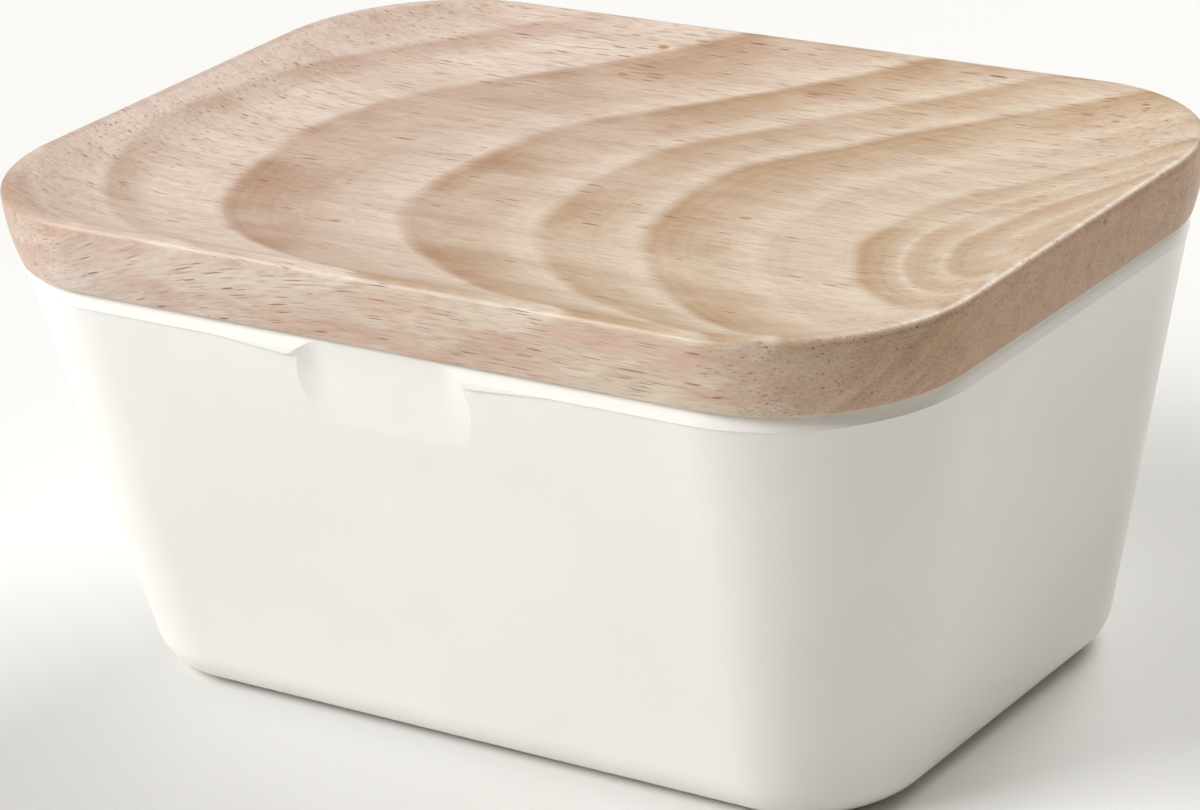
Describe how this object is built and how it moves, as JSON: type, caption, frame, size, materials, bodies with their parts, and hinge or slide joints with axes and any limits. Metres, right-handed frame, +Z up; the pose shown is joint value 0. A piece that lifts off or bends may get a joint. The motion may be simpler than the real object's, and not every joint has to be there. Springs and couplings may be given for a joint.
{
  "type": "lidded butter box",
  "caption": "Rounded rectangular butter box with drafted moulded walls, shallow thumb notches under the rim and a lift-off wooden lid with a dished top and a sealing plug.",
  "frame": {"origin": "centre of the box's base, on the surface that it stands on", "axes": "+X along the long side, +Y across the short side, +Z up through the lid"},
  "size_m": [0.159, 0.1132, 0.0778],
  "materials": {
    "moulded_wall": "satin",
    "lid_wood": "oiled",
    "seal_ring": "matte"
  },
  "bodies": {
    "box": {"box": "moulded_wall"},
    "lid": {"lid": "lid_wood", "seal": "seal_ring"}
  },
  "joints": [
    {"name": "lid_lift", "type": "slide", "parent": "box", "child": "lid", "axis": [0, 0, 1], "range_m": [0, 0.1]}
  ]
}
